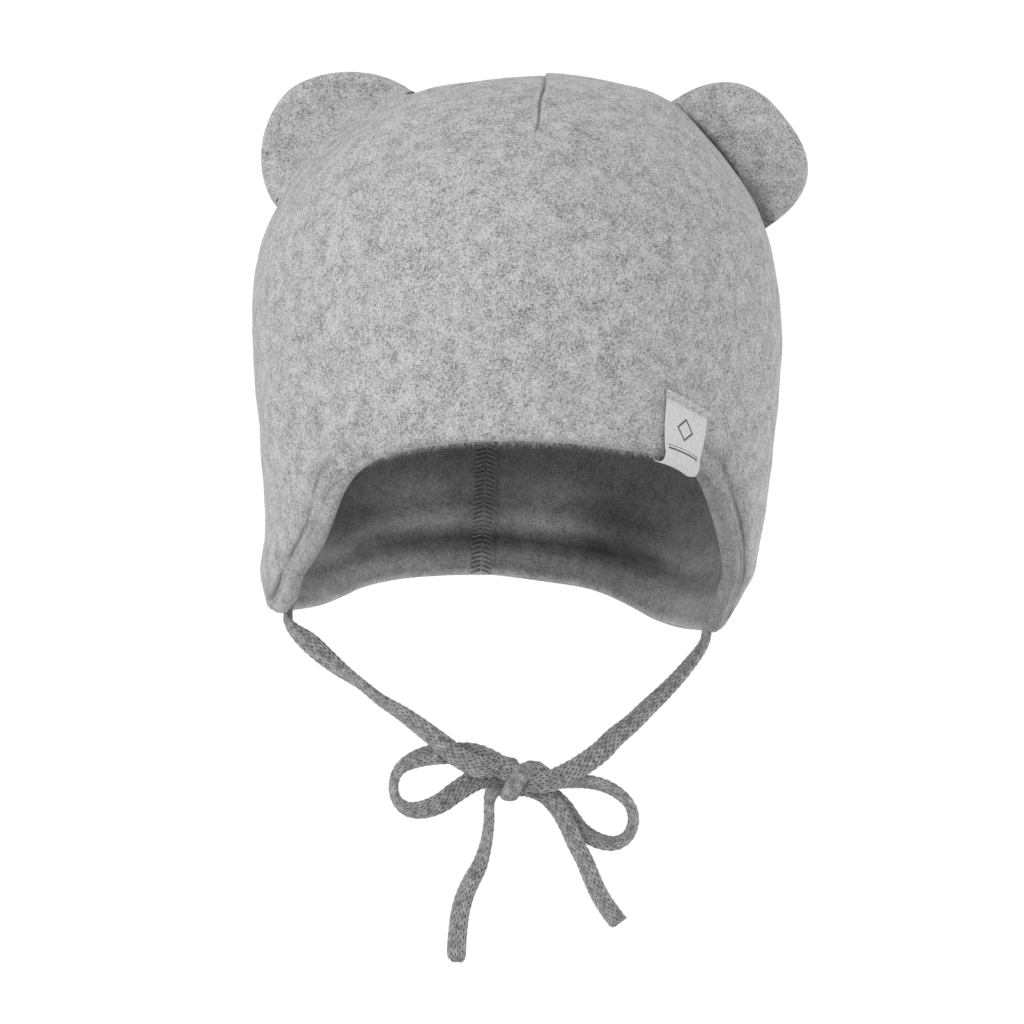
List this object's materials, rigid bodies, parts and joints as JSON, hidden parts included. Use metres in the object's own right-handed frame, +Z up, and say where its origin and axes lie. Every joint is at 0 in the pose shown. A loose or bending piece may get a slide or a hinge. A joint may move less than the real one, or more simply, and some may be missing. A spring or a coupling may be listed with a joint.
{
  "type": "baby bonnet with ears and ties",
  "caption": "Fleece baby bonnet with padded half-round ears, ear flaps, a soft lining, a folded label on the brow and knitted ties in a bow.",
  "frame": {"origin": "the inner top of the crown on the middle plane, where the head touches the hat", "axes": "+X to the viewer's right when looking at the brow, +Y from the brow to the nape, +Z up through the crown"},
  "size_m": [0.1473, 0.167, 0.2383],
  "materials": {
    "shell_fleece": "light grey melange wool fleece, matt and slightly hairy",
    "lining_fleece": "grey melange fleece, matt",
    "woven_tape": "off-white woven tape",
    "knitted_cord": "mid-grey melange knitted cord"
  },
  "bodies": {
    "root": {"front_panel": "shell_fleece", "back_panel_left": "shell_fleece", "back_panel_right": "shell_fleece", "lining": "lining_fleece", "ear_left": "shell_fleece", "ear_right": "shell_fleece", "label": "woven_tape", "tie_left": "knitted_cord", "tie_right": "knitted_cord", "loop_left": "knitted_cord", "loop_right": "knitted_cord", "tail_left": "knitted_cord", "tail_right": "knitted_cord", "bow_knot": "knitted_cord"}
  },
  "joints": []
}
